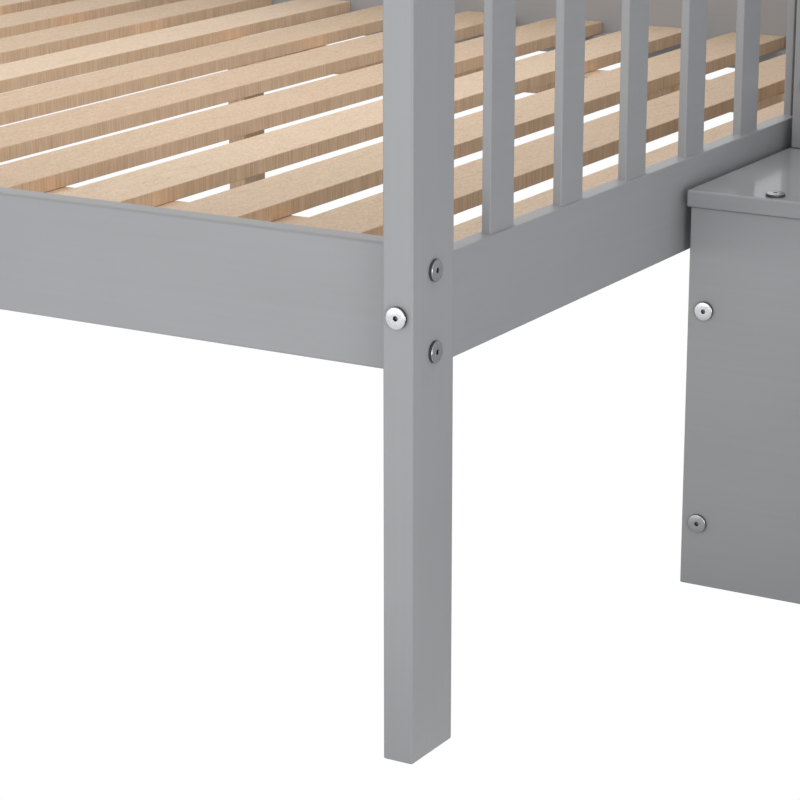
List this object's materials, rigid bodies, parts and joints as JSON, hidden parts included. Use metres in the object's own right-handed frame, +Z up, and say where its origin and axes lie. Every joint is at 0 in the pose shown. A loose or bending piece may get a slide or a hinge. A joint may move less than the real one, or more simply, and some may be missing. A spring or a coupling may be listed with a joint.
{
  "type": "loft bed with desk",
  "caption": "Painted wooden loft bed over a full-size lower slatted bed, with boxed storage stairs at one end and a drawer desk beside them.",
  "frame": {"origin": "middle of the whole footprint, on the floor", "axes": "+X along the bed towards the stairs and the desk, +Y from the front to the wall side, +Z up"},
  "size_m": [3.456, 1.4592, 1.72],
  "materials": {
    "grey_paint": "satin grey paint over pine and board",
    "slat_wood": "bare planed maple, matt",
    "drawer_wood": "bare birch ply, matt",
    "zinc": "zinc-plated steel, satin"
  },
  "bodies": {
    "frame": {"post_front_right": "grey_paint", "post_front_left": "grey_paint", "post_back_right": "grey_paint", "post_back_left": "grey_paint", "lower_rail_front": "grey_paint", "lower_rail_back": "grey_paint", "lower_end_right": "grey_paint", "lower_end_left": "grey_paint", "upper_rail_front": "grey_paint", "upper_rail_back": "grey_paint", "upper_end_right": "grey_paint", "upper_end_left": "grey_paint", "guard_front": "grey_paint", "guard_back": "grey_paint", "tread_1": "grey_paint", "tread_2": "grey_paint", "tread_3": "grey_paint", "tread_4": "grey_paint", "riser_1": "grey_paint", "riser_2": "grey_paint", "riser_3": "grey_paint", "riser_4": "grey_paint", "stair_side_left": "grey_paint", "stair_side_right": "grey_paint", "stair_back": "grey_paint", "desk_top": "grey_paint", "desk_cleat": "grey_paint", "desk_back": "grey_paint", "desk_pedestal": "grey_paint", "slat_01": "slat_wood", "slat_02": "slat_wood", "slat_03": "slat_wood", "slat_04": "slat_wood", "slat_05": "slat_wood", "slat_06": "slat_wood", "slat_07": "slat_wood", "slat_08": "slat_wood", "slat_09": "slat_wood", "slat_10": "slat_wood", "slat_11": "slat_wood", "slat_12": "slat_wood", "slat_13": "slat_wood", "slat_14": "slat_wood", "slat_15": "slat_wood", "slat_16": "slat_wood", "upper_slat_deck": "slat_wood", "slat_support_front": "slat_wood", "slat_support_back": "slat_wood", "step_shelf": "drawer_wood", "bolt_post_front": "zinc", "bolt_post_side_upper": "zinc", "bolt_post_side_lower": "zinc", "bolt_riser_upper": "zinc", "bolt_riser_lower": "zinc"},
    "step_drawer": {"step_drawer_front": "grey_paint", "step_drawer_box": "drawer_wood"},
    "desk_drawer_lower": {"desk_drawer_lower_front": "grey_paint", "desk_drawer_lower_box": "drawer_wood"},
    "desk_drawer_upper": {"desk_drawer_upper_front": "grey_paint", "desk_drawer_upper_box": "drawer_wood"}
  },
  "joints": [
    {"name": "step_drawer_slide", "type": "slide", "parent": "frame", "child": "step_drawer", "axis": [1, 0, 0], "range_m": [0, 0.28]},
    {"name": "desk_drawer_lower_slide", "type": "slide", "parent": "frame", "child": "desk_drawer_lower", "axis": [0, -1, 0], "range_m": [0, 0.33]},
    {"name": "desk_drawer_upper_slide", "type": "slide", "parent": "frame", "child": "desk_drawer_upper", "axis": [0, -1, 0], "range_m": [0, 0.33]}
  ]
}
